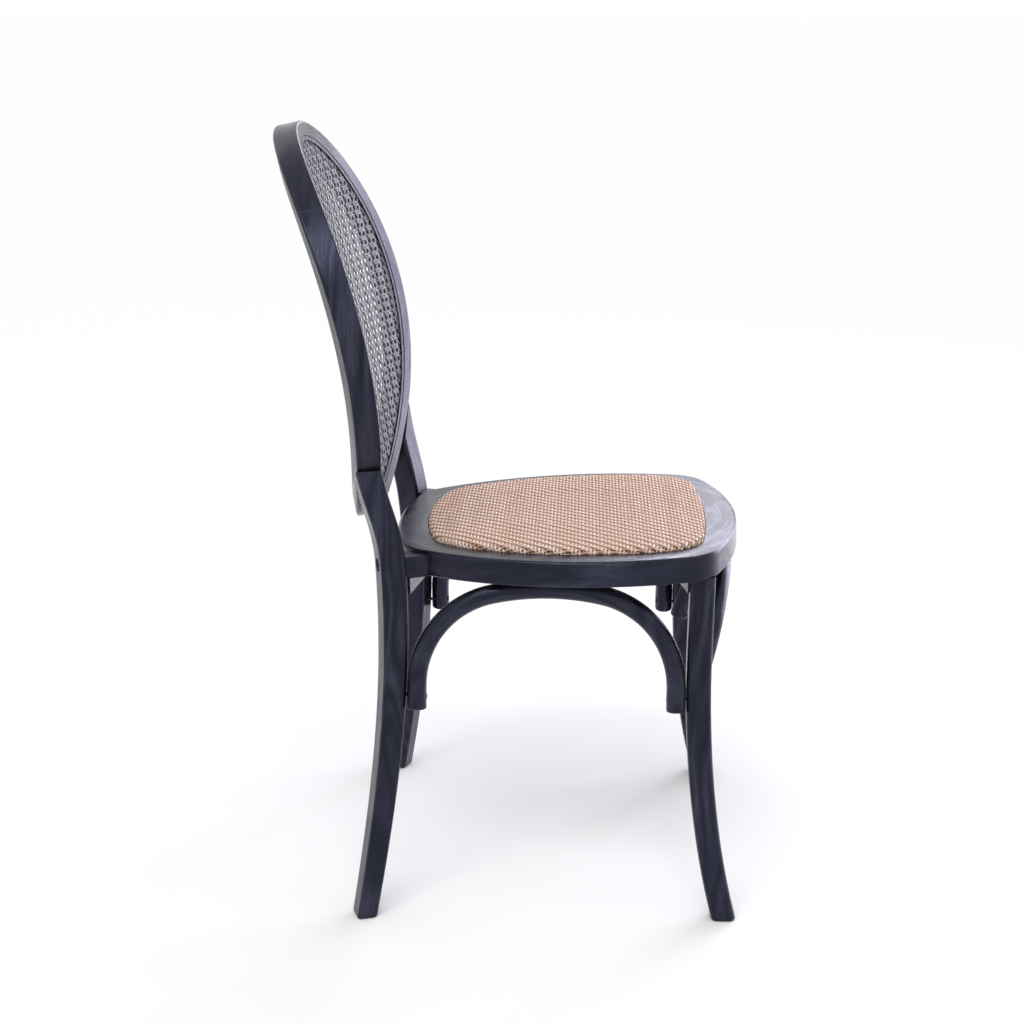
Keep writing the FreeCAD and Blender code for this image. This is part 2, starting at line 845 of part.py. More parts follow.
def seat_board():
    return seat_tilted(plate(pad_outline(board_edge_inset, rebate_floor_z), board_thickness))


def seat_foam():
    rim = pad_rim_z - weave_thickness - glue_gap
    return seat_tilted(pad_shell(board_edge_inset, rebate_floor_z + board_thickness, rim, pad_crown))


def seat_weave():
    outer = pad_shell(0, rebate_floor_z, pad_rim_z, pad_crown)
    room = board_edge_inset - glue_gap
    inner = pad_shell(room, rebate_floor_z - overrun, pad_rim_z - weave_thickness, pad_crown)
    return seat_tilted(outer.cut(inner))


def board_screws(gap):
    # Screws up through the ring's lip into the edge of the board.
    row = pad_outline(ring_lip_width / 2, rebate_floor_z + board_screw_bite - board_screw_length)
    lip_depth = ring_thickness - ring_rebate_depth
    screws = []
    for start in row.discretize(Number=board_screw_count + 1)[:-1]:
        fixing = screw(start, V(0, 0, 1), board_screw_length, gap)
        if gap:
            well = Part.makeCylinder(screw_head_diameter / 2 + gap, lip_depth, start, V(0, 0, -1))
            fixing = fixing.fuse(well)
        screws.append(seat_tilted(fixing))
    return screws


# Screws


def side_end_screws(gap):
    # Level screws through the feet of the right side arch, into the two legs.
    front_y, rear_y = side_arch_span()
    reach = rod_radius - arch_screw_sink
    rear = V(side_arch_foot_x, rear_y - reach, arch_screw_z)
    front = V(side_arch_foot_x, front_y + reach, arch_screw_z)
    rear_turn = math.radians(rear_screw_turn)
    front_turn = math.radians(front_screw_turn)
    backward = V(-math.sin(rear_turn), math.cos(rear_turn), 0)
    forward = V(-math.sin(front_turn), -math.cos(front_turn), 0)
    return [screw(rear, backward, arch_screw_length, gap), screw(front, forward, arch_screw_length, gap)]


def front_end_screw(gap):
    _, _, half_span, y = front_arch()
    # Lower than the side arch's screw, so that the two don't meet inside the leg.
    start = V(half_span - rod_radius + arch_screw_sink, y, arch_screw_z - arch_screw_stagger)
    return screw(start, V(1, 0, 0), arch_screw_length, gap)


def crown_screw(crown, up, gap):
    return screw(crown - up * (rod_radius - arch_screw_sink), up, arch_screw_length, gap)


def block_screws(gap):
    screws = []
    up = seat_up()
    rows = block_screw_places(rear_block_outer, rear_block_inner, rear_block_depth, 1)
    rows += block_screw_places(front_block_outer, front_block_inner, front_block_depth, -1)
    for place in rows:
        z = seat_plane_z(place.y, ring_thickness + block_height) + block_screw_sink
        screws.append(screw(V(place.x, place.y, z), up, block_screw_length, gap))
    return screws


def both_sides(pieces):
    return pieces + [mirrored(piece) for piece in pieces]


def single_solid(shape):
    # The largest solid of a cut piece.
    return max(shape.Solids, key=lambda solid: solid.Volume)


# Build

shapes = {}

# Oval back
dowel_holes = []
dowels = []
for angle in joint_angles:
    dowel_holes += hoop_dowel_pair(angle, bore_gap)
    dowels += hoop_dowel_pair(angle, 0)
shapes["hoop_dowels"] = Part.makeCompound(dowels)
shapes["post_dowels"] = Part.makeCompound(both_sides(post_dowels(0)))
post_holes = both_sides(post_dowels(bore_gap))
for name, start, end in hoop_angles:
    shapes[name] = hoop_piece(start, end).cut(dowel_holes + post_holes)
shapes["cane_panel"] = cane_sheet()
shapes["cane_spline"] = cane_spline()

# Arches
arch_right, side_crown = side_arch()
arch_front, front_crown, _, _ = front_arch()
up = seat_up()
side_screw_holes = side_end_screws(bore_gap)
front_screw_hole = front_end_screw(bore_gap)
side_crown_hole = crown_screw(side_crown, up, bore_gap)
front_crown_hole = crown_screw(front_crown, up, bore_gap)
arch_right = arch_right.cut(side_screw_holes + [side_crown_hole])
shapes["side_arch_right"] = arch_right
shapes["side_arch_left"] = mirrored(arch_right)
shapes["front_arch"] = arch_front.cut(both_sides([front_screw_hole]) + [front_crown_hole])
end_screws = both_sides(side_end_screws(0) + [front_end_screw(0)])
shapes["arch_end_screws"] = Part.makeCompound(end_screws)
crown_screws = both_sides([crown_screw(side_crown, up, 0)]) + [crown_screw(front_crown, up, 0)]
shapes["arch_crown_screws"] = Part.makeCompound(crown_screws)

# Legs
post = single_solid(post_body(0).cut(hoop_inside(hoop_top_joint, hoop_bottom_joint + 30)))
post_tip_z = post.optimalBoundingBox(True, False).ZMax - post_tip_trim
tip_reach = 4 * post_half_spread
thin_tip = Part.makeBox(tip_reach, tip_reach, tip_reach, V(0, -tip_reach / 2, post_tip_z))
post = single_solid(post.cut(thin_tip)).cut(post_dowels(bore_gap))
post = post.cut([bolt_recess(), socket_bolt(bore_gap), side_screw_holes[0]])
post = sole_rounded(post)
shapes["rear_leg_right"] = post
shapes["rear_leg_left"] = mirrored(post)
leg_top = front_leg_top()
leg = front_leg_body(0).cut(above_underside())
tenon_start = leg_top - up * tenon_root
tenon = Part.makeCylinder(tenon_diameter / 2, tenon_length + tenon_root, tenon_start, up)
leg = fused([leg, tenon])
leg = leg.cut([side_screw_holes[1], front_screw_hole])
leg = sole_rounded(leg)
shapes["front_leg_right"] = leg
shapes["front_leg_left"] = mirrored(leg)

# Corner blocks
leg_room = front_leg_body(fit_gap)
post_room = post_body(fit_gap)
block_holes = block_screws(bore_gap)
rear_block = corner_block(rear_block_outer, rear_block_inner, rear_block_depth, 1)
front_block = corner_block(front_block_outer, front_block_inner, front_block_depth, -1)
rear_block = single_solid(rear_block.cut(post_room)).cut(block_holes)
front_block = single_solid(front_block.cut(leg_room)).cut(block_holes)
shapes["rear_block_right"] = rear_block
shapes["rear_block_left"] = mirrored(rear_block)
shapes["front_block_right"] = front_block
shapes["front_block_left"] = mirrored(front_block)
shapes["block_screws"] = Part.makeCompound(both_sides(block_screws(0)))

# Rear leg fixings
shapes["rear_leg_bolts"] = Part.makeCompound(both_sides([socket_bolt(0)]))
shapes["bolt_washers"] = Part.makeCompound(both_sides([bolt_washer()]))
nut = barrel_nut(0).cut(socket_bolt(bore_gap))
shapes["bolt_barrel_nuts"] = Part.makeCompound(both_sides([nut]))

# Seat
ear = ring_ear()
nut_start = nut_place() - V(0, 0, ring_thickness)
nut_way = Part.makeCylinder(nut_diameter / 2 + bore_gap, ring_thickness, nut_start, V(0, 0, 1))
nut_bore = barrel_nut(bore_gap).fuse(nut_way)
tenon_depth = tenon_root + tenon_length + tenon_end_gap
tenon_bore = Part.makeCylinder(tenon_diameter / 2 + glue_gap, tenon_depth, tenon_start, up)
ring = fused([seat_ring_body(), ear, mirrored(ear)])
ring_cuts = both_sides([socket_bolt(bore_gap), nut_bore, tenon_bore, side_crown_hole] + block_holes)
shapes["seat_ring"] = ring.cut(ring_cuts + [front_crown_hole] + board_screws(bore_gap))
shapes["seat_board"] = seat_board().cut(board_screws(bore_gap))
shapes["seat_foam"] = seat_foam()
shapes["seat_weave"] = seat_weave()
shapes["board_screws"] = Part.makeCompound(board_screws(0))

# Save
whole = Part.makeCompound(list(shapes.values())).optimalBoundingBox(True, False)
depth_shift = -(whole.YMin + whole.YMax) / 2
os.makedirs("parts", exist_ok=True)
for name, shape in shapes.items():
    save(name, shape)
    print(name, len(shape.Solids), shape.isValid(), round(shape.Volume / 1000, 2))
print("depth shift", round(depth_shift, 3))
print("size", round(whole.XLength, 2), round(whole.YLength, 2), round(whole.ZLength, 2))
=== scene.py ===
import math

import bmesh
import bpy
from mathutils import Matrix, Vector


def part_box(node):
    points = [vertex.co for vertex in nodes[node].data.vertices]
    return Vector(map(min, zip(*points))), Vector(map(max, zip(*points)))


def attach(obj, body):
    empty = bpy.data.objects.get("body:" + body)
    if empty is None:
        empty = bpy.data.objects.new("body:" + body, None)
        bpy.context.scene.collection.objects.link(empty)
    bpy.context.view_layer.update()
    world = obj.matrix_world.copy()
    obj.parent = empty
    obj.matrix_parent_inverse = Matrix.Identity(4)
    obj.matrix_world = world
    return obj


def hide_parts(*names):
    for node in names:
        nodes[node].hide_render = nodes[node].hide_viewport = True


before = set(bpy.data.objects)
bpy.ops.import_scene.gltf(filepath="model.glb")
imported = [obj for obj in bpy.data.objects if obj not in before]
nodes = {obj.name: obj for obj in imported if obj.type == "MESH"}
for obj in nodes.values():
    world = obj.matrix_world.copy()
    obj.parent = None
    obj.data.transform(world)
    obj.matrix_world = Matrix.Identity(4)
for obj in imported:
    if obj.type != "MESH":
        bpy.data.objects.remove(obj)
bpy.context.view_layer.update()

# Bentwood bistro chair: black satin wood, a caned oval back and a woven rattan seat pad.
# Metres. The chair faces -Y, X runs across it and Z is up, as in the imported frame.

BODY = "root"

# Sizes shared with the solids
SEAT_HEIGHT = 0.450
SEAT_TILT = math.radians(1.67)
SEAT_FRONT_FROM_MIDDLE = 0.285
PAD_EDGE_RISE = 0.0035

# Cane panel of the back
CANE_PITCH = 0.0116
CANE_PAIR_GAP = 0.0031
CANE_WIDTH = 0.0026
CANE_SLANT_WIDTH = 0.0024
CANE_THICKNESS = 0.0008
CANE_DEPTH = -0.0011
CANE_STEPS_PER_PITCH = 4
CANE_EDGE_MARGIN = 1.008
CANE_WAVE = 0.0003
UPRIGHTS_BELOW = 0.0004
RISING_ABOVE = 0.0005
FALLING_ABOVE = 0.0007
SLANT_OVERRUN = 1.05

# Woven rattan of the seat pad
LONG_PITCH = 0.0045
CROSS_PITCH = 0.0037
LONG_WIDTH = 0.0029
CROSS_WIDTH = 0.0024
RATTAN_THICKNESS = 0.0013
RATTAN_WAVE = 0.0007
RATTAN_DEPTH = -0.0010
RATTAN_FOLD = 0.0095
STRAND_SIDES = 6
WAVE_FLATTENING = 1.25
WEAVE_SEED = 7

# Rays that lay the strands on a surface
RAY_START = 0.3
RAY_REACH = 0.6
BELOW_RIM = 0.0015
SIDE_REACH = 0.05

# Camera, placed from the front edge of the seat
CAMERA_X = -2.4978
CAMERA_BEHIND_SEAT_FRONT = 0.1990
CAMERA_HEIGHT = 1.1266
CAMERA_DOWN = 0.2626
CAMERA_TURN = 0.0367
CAMERA_LENS = 69.84
CAMERA_SENSOR = 36.0
CAMERA_SIGHT = 200.0

# Colours, linear
BLACK_LACQUER = (0.0045, 0.0047, 0.0080, 1)
# Lighter lacquer for worn edges and specks, and for the figure bands painted lighter as sheen.
BLACK_LACQUER_WORN_AND_SHEEN = (0.046, 0.047, 0.066, 1)
BLACK_LACQUER_PORE = (0.0020, 0.0020, 0.0035, 1)
LACQUER_TINT = (0.60, 0.64, 1.0, 1)
LACQUER_SHINE = 0.38
# Cane: the strands are black lacquer. The pale and grey base colours are painted sheen standing in for
# grazing reflection, and CANE_BLACK, their own black, is shown where they dip as painted shade.
CANE_PALE_SHEEN = (0.27, 0.265, 0.31, 1)
CANE_GREY_SHEEN = (0.16, 0.157, 0.185, 1)
CANE_BLACK = (0.018, 0.018, 0.024, 1)
RATTAN_PALE = (0.97, 0.80, 0.73, 1)
RATTAN_HONEY = (0.76, 0.53, 0.41, 1)
# RATTAN_AMBER is painted shade on the strands where they dip under the crossings, and tints the painted
# shade of the underlay.
RATTAN_AMBER = (0.36, 0.18, 0.09, 1)
PAD_SHADE = (0.055, 0.030, 0.020, 1)
BEECH_LIGHT = (0.52, 0.35, 0.21, 1)
BEECH_DARK = (0.33, 0.20, 0.11, 1)
STEEL_LIGHT = (0.50, 0.50, 0.51, 1)
STEEL_DARK = (0.16, 0.16, 0.17, 1)
SCREW_BLACK = (0.045, 0.045, 0.050, 1)
FLOOR_WHITE = (0.95, 0.95, 0.95, 1)

# Grain with its figure partly painted as sheen, wear and dust
PORE_STRETCH = 0.035
PORE_SHARE = 0.55
FIGURE_STRETCH = 0.16
FIGURE_BANDS = 42.0
# Share of the figure bands painted into the lacquer's colour as painted sheen.
FIGURE_SHEEN_SHARE = 0.75
FIGURE_DULLING = 0.08
TONE_SCALE = 9.0
WEAR_SCALE = 70.0
WEAR_SHARE = 0.55
WEAR_DULLING = 0.12
SPECK_SCALE = 900.0
SPECK_SHARE = 0.35
SMUDGE_SCALE = 22.0
SMUDGE_DULLING = 0.06
LACQUER_ROUGHNESS = 0.19
GRAIN_RELIEF = 0.0004
GRAIN_RELIEF_STRENGTH = 0.35
FIBRE_SCALE = 1900.0
UNDERLAY_AMBER_SHARE = 0.4
BEECH_PORE_SHARE = 0.4

# Floor and light
FLOOR_REACH = 60.0
FLOOR_ROUGHNESS = 0.85
FLOOR_EASE = 0.2
ROOM_LIGHT = 0.68
COOL_LIGHT = (0.87, 0.85, 1.0)
PLAIN_LIGHT = (1.0, 1.0, 1.0)
KEY_PLACE = (-1.5, 0.3, 2.7)
KEY_SIZE = (1.8, 0.9)
KEY_POWER = 30.0
BACK_PLACE = (3.0, -1.3, 2.1)
BACK_SIZE = (2.6, 1.6)
BACK_POWER = 52.0
FRONT_PLACE = (2.2, -2.6, 0.95)
FRONT_SIZE = (2.4, 1.8)
FRONT_POWER = 60.0
LAMP_AIM = (0.0, 0.0, 0.6)
FLOOR_NEAR = 0.55
FLOOR_FAR = 1.25

depth_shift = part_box("seat_ring")[0].y + SEAT_FRONT_FROM_MIDDLE


# Node helpers

def feed(tree, socket, value):
    if isinstance(value, bpy.types.NodeSocket):
        tree.links.new(value, socket)
    else:
        socket.default_value = value


def place(tree, kind, inputs=None, **settings):
    node = tree.nodes.new(kind)
    for name, value in settings.items():
        setattr(node, name, value)
    for name, value in (inputs or {}).items():
        feed(tree, node.inputs[name], value)
    return node


def calc(tree, operation, *values, clamp=False):
    node = place(tree, "ShaderNodeMath", operation=operation, use_clamp=clamp)
    for socket, value in zip(node.inputs, values):
        feed(tree, socket, value)
    return node.outputs[0]


def vector_calc(tree, operation, *values):
    node = place(tree, "ShaderNodeVectorMath", operation=operation)
    if operation == "SCALE":
        feed(tree, node.inputs[0], values[0])
        feed(tree, node.inputs["Scale"], values[1])
    else:
        for socket, value in zip(node.inputs, values):
            feed(tree, socket, value)
    return node.outputs["Value" if operation in ("LENGTH", "DOT_PRODUCT") else "Vector"]


def split(tree, vector):
    return place(tree, "ShaderNodeSeparateXYZ", {"Vector": vector}).outputs


def joined(tree, x, y, z):
    return place(tree, "ShaderNodeCombineXYZ", {"X": x, "Y": y, "Z": z}).outputs[0]


def mixed(tree, share, first, second):
    node = place(tree, "ShaderNodeMix", data_type="RGBA")
    feed(tree, node.inputs["Factor"], share)
    feed(tree, node.inputs[6], first)
    feed(tree, node.inputs[7], second)
    return node.outputs[2]


def ranged(tree, value, low, high, to_low=0.0, to_high=1.0):
    node = place(tree, "ShaderNodeMapRange", {"Value": value, "From Min": low, "From Max": high,
                                              "To Min": to_low, "To Max": to_high})
    return node.outputs["Result"]


def noise(tree, vector, scale, detail=2.0, roughness=0.5):
    node = place(tree, "ShaderNodeTexNoise", {"Vector": vector, "Scale": scale, "Detail": detail,
                                              "Roughness": roughness})
    return node.outputs["Fac"]


def new_group(name, inputs, outputs):
    tree = bpy.data.node_groups.new(name, "ShaderNodeTree")
    for socket, kind, value in inputs:
        made = tree.interface.new_socket(socket, in_out="INPUT", socket_type="NodeSocket" + kind)
        if value is not None:
            made.default_value = value
    for socket, kind in outputs:
        tree.interface.new_socket(socket, in_out="OUTPUT", socket_type="NodeSocket" + kind)
    return tree, tree.nodes.new("NodeGroupInput").outputs, tree.nodes.new("NodeGroupOutput").inputs


# Shared surface effects

def make_bend_group():
    # Straightens a bend that lies in the X-Y plane: the new Z runs along the wood.
    tree, given, out = new_group("round the bend", [("Vector", "Vector", None), ("Radius", "Float", 0.2)],
                                 [("Vector", "Vector")])
    x, y, z = split(tree, given["Vector"])
    radius = vector_calc(tree, "LENGTH", joined(tree, x, y, 0.0))
    angle = calc(tree, "ARCTAN2", x, y)
    feed(tree, out["Vector"], joined(tree, radius, z, calc(tree, "MULTIPLY", angle, given["Radius"])))
    return tree


def make_grain_group():
    # Wood grain along Z: fine pores, and broad figure in long pointed bands.
    tree, given, out = new_group("wood grain", [("Vector", "Vector", None), ("Line Scale", "Float", 520.0),
                                                ("Figure Scale", "Float", 26.0)],
                                 [("Pores", "Float"), ("Figure", "Float"), ("Tone", "Float")])
    drawn_out = vector_calc(tree, "MULTIPLY", given["Vector"], (1.0, 1.0, PORE_STRETCH))
    pores = noise(tree, drawn_out, given["Line Scale"], 3.0, 0.6)
    feed(tree, out["Pores"], ranged(tree, pores, 0.36, 0.52, 1.0, 0.0))
    swept = vector_calc(tree, "MULTIPLY", given["Vector"], (1.0, 1.0, FIGURE_STRETCH))
    bands = calc(tree, "MULTIPLY", noise(tree, swept, given["Figure Scale"], 1.0, 0.4), FIGURE_BANDS)
    feed(tree, out["Figure"], ranged(tree, calc(tree, "SINE", bands), -1.0, 1.0))
    feed(tree, out["Tone"], noise(tree, given["Vector"], TONE_SCALE, 2.0, 0.5))
    return tree


def make_wear_group():
    # Where an edge is sharper than the given radius, broken up along its length.
    tree, given, out = new_group("edge wear", [("Vector", "Vector", None), ("Radius", "Float", 0.002)],
                                 [("Wear", "Float")])
    softened = place(tree, "ShaderNodeBevel", {"Radius": given["Radius"]}, samples=4).outputs[0]
    plain = place(tree, "ShaderNodeNewGeometry").outputs["Normal"]
    turn = calc(tree, "SUBTRACT", 1.0, vector_calc(tree, "DOT_PRODUCT", softened, plain))
    edge = ranged(tree, turn, 0.01, 0.10)
    broken = ranged(tree, noise(tree, given["Vector"], WEAR_SCALE, 3.0, 0.6), 0.42, 0.62)
    feed(tree, out["Wear"], calc(tree, "MULTIPLY", edge, broken))
    return tree


def make_dust_group():
    # Faint specks and handling marks in a lacquered surface.
    tree, given, out = new_group("fine dust", [("Vector", "Vector", None)],
                                 [("Specks", "Float"), ("Smudge", "Float")])
    specks = noise(tree, given["Vector"], SPECK_SCALE, 1.0, 0.5)
    feed(tree, out["Specks"], ranged(tree, specks, 0.70, 0.78))
    smudges = noise(tree, given["Vector"], SMUDGE_SCALE, 3.0, 0.55)
    feed(tree, out["Smudge"], ranged(tree, smudges, 0.38, 0.68))
    return tree


BEND = make_bend_group()
GRAIN = make_grain_group()
WEAR = make_wear_group()
DUST = make_dust_group()


def use(tree, group, **inputs):
    node = tree.nodes.new("ShaderNodeGroup")
    node.node_tree = group
    for name, value in inputs.items():
        feed(tree, node.inputs[name.replace("_", " ")], value)
    return node.outputs


# Materials

def new_material(name):
    material = bpy.data.materials.new(name)
    material.use_nodes = True
    tree = material.node_tree
    shader = tree.nodes["Principled BSDF"]
    return material, tree, shader


def object_place(tree, centre=(0, 0, 0), order="xyz"):
    # Object coordinates about a centre, with the axes handed on in another order.
    raw = place(tree, "ShaderNodeTexCoord").outputs["Object"]
    parts = dict(zip("xyz", split(tree, vector_calc(tree, "SUBTRACT", raw, tuple(centre)))))
    return raw, joined(tree, *[parts[axis] for axis in order])


def bumped(tree, shader, height, strength, distance):
    node = place(tree, "ShaderNodeBump", {"Height": height, "Strength": strength, "Distance": distance})
    feed(tree, shader.inputs["Normal"], node.outputs[0])


def black_wood(name, centre=(0, 0, 0), order="xyz", bend_radius=None, figure=26.0):
    material, tree, shader = new_material(name)
    raw, along = object_place(tree, centre, order)
    if bend_radius:
        along = use(tree, BEND, Vector=along, Radius=bend_radius)["Vector"]
    grain = use(tree, GRAIN, Vector=along, Figure_Scale=figure)
    wear = use(tree, WEAR, Vector=raw)["Wear"]
    dust = use(tree, DUST, Vector=raw)
    # Painted sheen: the grain's figure is painted as lighter bands in the lacquer's colour, standing in for
    # the shine along the grain.
    pale = calc(tree, "MULTIPLY", ranged(tree, grain["Tone"], 0.3, 0.7), grain["Figure"])
    sheen_banded = mixed(tree, calc(tree, "MULTIPLY", pale, FIGURE_SHEEN_SHARE), BLACK_LACQUER, BLACK_LACQUER_WORN_AND_SHEEN)
    lined = mixed(tree, calc(tree, "MULTIPLY", grain["Pores"], PORE_SHARE), sheen_banded, BLACK_LACQUER_PORE)
    worn = mixed(tree, calc(tree, "MULTIPLY", wear, WEAR_SHARE), lined, BLACK_LACQUER_WORN_AND_SHEEN)
    specked = mixed(tree, calc(tree, "MULTIPLY", dust["Specks"], SPECK_SHARE), worn, BLACK_LACQUER_WORN_AND_SHEEN)
    feed(tree, shader.inputs["Base Color"], specked)
    shader.inputs["Specular Tint"].default_value = LACQUER_TINT
    shader.inputs["Specular IOR Level"].default_value = LACQUER_SHINE
    sheen_lines = calc(tree, "MULTIPLY", grain["Figure"], FIGURE_DULLING)
    rough = calc(tree, "ADD", calc(tree, "MULTIPLY", dust["Smudge"], SMUDGE_DULLING), LACQUER_ROUGHNESS)
    rough = calc(tree, "ADD", rough, sheen_lines)
    rubbed = calc(tree, "MULTIPLY", wear, WEAR_DULLING)
    feed(tree, shader.inputs["Roughness"], calc(tree, "ADD", rough, rubbed))
    relief = calc(tree, "ADD", calc(tree, "MULTIPLY", grain["Pores"], -0.7), grain["Figure"])
    bumped(tree, shader, relief, GRAIN_RELIEF_STRENGTH, GRAIN_RELIEF)
    return material


def strand_material(name, pale, middle, deep, rough, spread):
    # Strands carry their own tone and their place along the run as attributes.
    material, tree, shader = new_material(name)
    tone = place(tree, "ShaderNodeAttribute", attribute_name="tone").outputs["Fac"]
    run = place(tree, "ShaderNodeAttribute", attribute_name="run").outputs["Fac"]
    rise = place(tree, "ShaderNodeAttribute", attribute_name="rise").outputs["Fac"]
    raw = place(tree, "ShaderNodeTexCoord").outputs["Object"]
    fibre_place = joined(tree, calc(tree, "MULTIPLY", run, 40.0), calc(tree, "MULTIPLY", tone, 91.0), 0.0)
    patches = noise(tree, fibre_place, 1.6, 3.0, 0.6)
    shade = calc(tree, "ADD", calc(tree, "MULTIPLY", tone, 0.55), calc(tree, "MULTIPLY", patches, 0.6))
    base = mixed(tree, ranged(tree, shade, 0.5 - spread, 0.5 + spread), pale, middle)
    # Painted shade: where a strand dips under its crossing strands, its colour runs toward the deep colour.
    sunk_shade = mixed(tree, ranged(tree, rise, 0.35, -0.95, 0.0, 0.85), base, deep)
    feed(tree, shader.inputs["Base Color"], sunk_shade)
    fibres = noise(tree, raw, FIBRE_SCALE, 2.0, 0.5)
    feed(tree, shader.inputs["Roughness"], ranged(tree, patches, 0.3, 0.7, rough - 0.06, rough + 0.08))
    bumped(tree, shader, fibres, 0.25, 0.0002)
    return material


def shade_material():
    material, tree, shader = new_material("pad_underlay_painted_shade")
    # Painted shade: the filling under the weave is near black, so the gaps between strands read as shade. A
    # mottle of amber runs through it.
    raw = place(tree, "ShaderNodeTexCoord").outputs["Object"]
    mottled = ranged(tree, noise(tree, raw, 260.0, 3.0, 0.6), 0.35, 0.65)
    amber_in_shade = calc(tree, "MULTIPLY", mottled, UNDERLAY_AMBER_SHARE)
    feed(tree, shader.inputs["Base Color"], mixed(tree, amber_in_shade, PAD_SHADE, RATTAN_AMBER))
    feed(tree, shader.inputs["Roughness"], ranged(tree, mottled, 0.0, 1.0, 0.75, 0.9))
    bumped(tree, shader, mottled, 0.4, 0.0004)
    return material


def pale_wood(name, order):
    material, tree, shader = new_material(name)
    _, along = object_place(tree, order=order)
    grain = use(tree, GRAIN, Vector=along, Figure_Scale=18.0)
    base = mixed(tree, grain["Figure"], BEECH_LIGHT, BEECH_DARK)
    pored = calc(tree, "MULTIPLY", grain["Pores"], BEECH_PORE_SHARE)
    feed(tree, shader.inputs["Base Color"], mixed(tree, pored, base, BEECH_DARK))
    feed(tree, shader.inputs["Roughness"], ranged(tree, grain["Tone"], 0.3, 0.7, 0.5, 0.65))
    bumped(tree, shader, grain["Pores"], 0.3, 0.0002)
    return material


def steel(name, light):
    material, tree, shader = new_material(name)
    raw = place(tree, "ShaderNodeTexCoord").outputs["Object"]
    brushed = noise(tree, vector_calc(tree, "MULTIPLY", raw, (1.0, 1.0, 0.08)), 2400.0, 2.0, 0.5)
    wear = use(tree, WEAR, Vector=raw, Radius=0.0006)["Wear"]
    deep = tuple(0.35 * channel for channel in light[:3]) + (1,)
    base = mixed(tree, brushed, deep, light)
    feed(tree, shader.inputs["Base Color"], mixed(tree, wear, base, STEEL_DARK))
    shader.inputs["Metallic"].default_value = 1.0
    feed(tree, shader.inputs["Roughness"], ranged(tree, brushed, 0.3, 0.7, 0.28, 0.42))
    bumped(tree, shader, brushed, 0.15, 0.0001)
    return material


def middle_of(*names):
    lows = [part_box(name)[0] for name in names]
    highs = [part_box(name)[1] for name in names]
    low = Vector([min(corner[axis] for corner in lows) for axis in range(3)])
    high = Vector([max(corner[axis] for corner in highs) for axis in range(3)])
    return (low + high) / 2, high - low


HOOP = ("hoop_top", "hoop_right", "hoop_bottom", "hoop_left")


def dress_solids():
    hoop_middle, hoop_size = middle_of(*HOOP)
    ring_middle, ring_size = middle_of("seat_ring")
    side_middle, side_size = middle_of("side_arch_right")
    front_middle, front_size = middle_of("front_arch")
    side_foot = Vector((side_middle.x, side_middle.y, side_middle.z - side_size.z / 2))
    front_foot = Vector((front_middle.x, front_middle.y, front_middle.z - front_size.z / 2))
    hoop_wood = black_wood("hoop_black_wood", hoop_middle, "xzy", hoop_size.x / 2, 22.0)
    ring_wood = black_wood("seat_ring_black_wood", ring_middle, "xyz", ring_size.x / 2, 20.0)
    leg_wood = black_wood("leg_black_wood")
    side_wood = black_wood("side_arch_black_wood", side_foot, "yzx", side_size.y / 2)
    front_wood = black_wood("front_arch_black_wood", front_foot, "xzy", front_size.x / 2)
    block_wood = black_wood("block_black_wood", order="zyx")
    beech = pale_wood("dowel_beech", "zyx")
    plywood = pale_wood("board_plywood", "zxy")
    bolt_steel = steel("bolt_steel", STEEL_LIGHT)
    black_steel = steel("blackened_steel", SCREW_BLACK)
    finishes = {
        "hoop": hoop_wood, "cane_spline": hoop_wood, "seat_ring": ring_wood, "rear_leg": leg_wood,
        "front_leg": leg_wood, "side_arch": side_wood, "front_arch": front_wood,
        "rear_block": block_wood, "front_block": block_wood, "hoop_dowels": beech,
        "post_dowels": beech, "seat_board": plywood, "arch_end_screws": black_steel,
        "arch_crown_screws": black_steel, "block_screws": black_steel}
    for name, node in nodes.items():
        fitting = [key for key in finishes if name.startswith(key)]
        finish = finishes[max(fitting, key=len)] if fitting else bolt_steel
        node.data.materials.clear()
        node.data.materials.append(finish)


# Woven strands, laid on a surface by rays

WEAVE_INPUTS = (
    ("Surface", "Object"), ("Origin", "Vector"), ("Across", "Vector"), ("Along", "Vector"),
    ("Turn", "Float"), ("Count", "Int"), ("Pitch", "Float"), ("Pair Gap", "Float"), ("Pair Size", "Float"),
    ("Length", "Float"), ("Steps", "Int"), ("Width", "Float"), ("Thickness", "Float"), ("Sides", "Int"),
    ("Lift", "Float"), ("Wave", "Float"), ("Rhythm", "Vector"), ("Phase", "Float"), ("Margin", "Float"),
    ("Fold", "Float"), ("Seed", "Int"), ("Material", "Material"))


